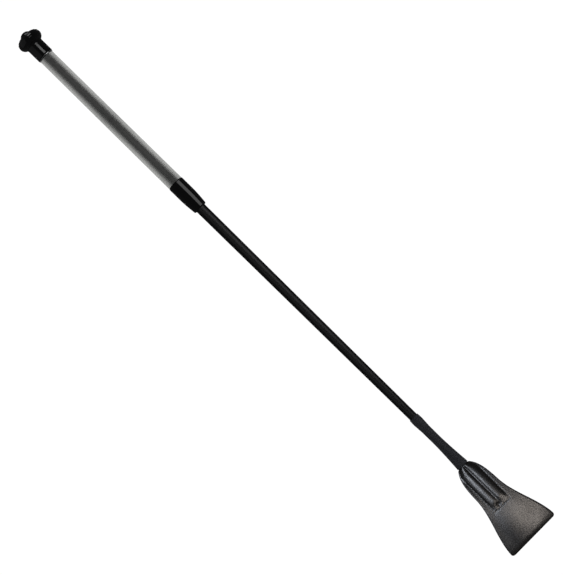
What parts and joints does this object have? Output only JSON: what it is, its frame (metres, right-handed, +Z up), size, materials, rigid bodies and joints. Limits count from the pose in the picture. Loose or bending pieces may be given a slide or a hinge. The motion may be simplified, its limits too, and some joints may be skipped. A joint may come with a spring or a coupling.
{
  "type": "riding crop",
  "caption": "Straight riding crop: bulb-ended butt cap, silver textured grip, tapered ferrule, braided shaft, thread whipping and a folded leather flap that flexes.",
  "frame": {"origin": "under the middle of the crop's length, level with the lowest point of the bulb", "axes": "+X along the shaft towards the flap, +Y across the flap, +Z up out of the flap's face"},
  "size_m": [0.6496, 0.053, 0.0246],
  "materials": {
    "cap_plastic": "moulded, polished black",
    "trim_metal": "bright thin ring",
    "former_plastic": "extruded, hidden",
    "grip_sleeve": "silver metallic textured sleeve",
    "rod_glass_fibre": "drawn glass fibre, hidden",
    "shaft_braid": "tight braided nylon",
    "whipping_yarn": "matt wound thread",
    "flap_leather": "fine-grained, semi-gloss black",
    "tongue_leather": "plain, hidden",
    "seam_yarn": "waxed sewing thread"
  },
  "bodies": {
    "crop_body": {"cap_button": "cap_plastic", "end_cap": "cap_plastic", "trim_ring": "trim_metal", "grip_former": "former_plastic", "grip_cover": "grip_sleeve", "ferrule": "cap_plastic", "core_rod": "rod_glass_fibre", "braid_cover": "shaft_braid", "whipping_thread": "whipping_yarn", "flap_neck_front": "flap_leather", "flap_neck_back": "flap_leather", "tongue_strip_left": "tongue_leather", "tongue_strip_right": "tongue_leather", "seam_thread_front": "seam_yarn", "seam_thread_back": "seam_yarn"},
    "blade": {"flap_blade": "flap_leather"}
  },
  "joints": [
    {"name": "flap_flex", "type": "hinge", "parent": "crop_body", "child": "blade", "pos_m": [0.28855, 0, 0.0123], "axis": [0, 1, 0], "range_deg": [-75, 75], "stiffness_Nm_per_rad": 0.15}
  ]
}
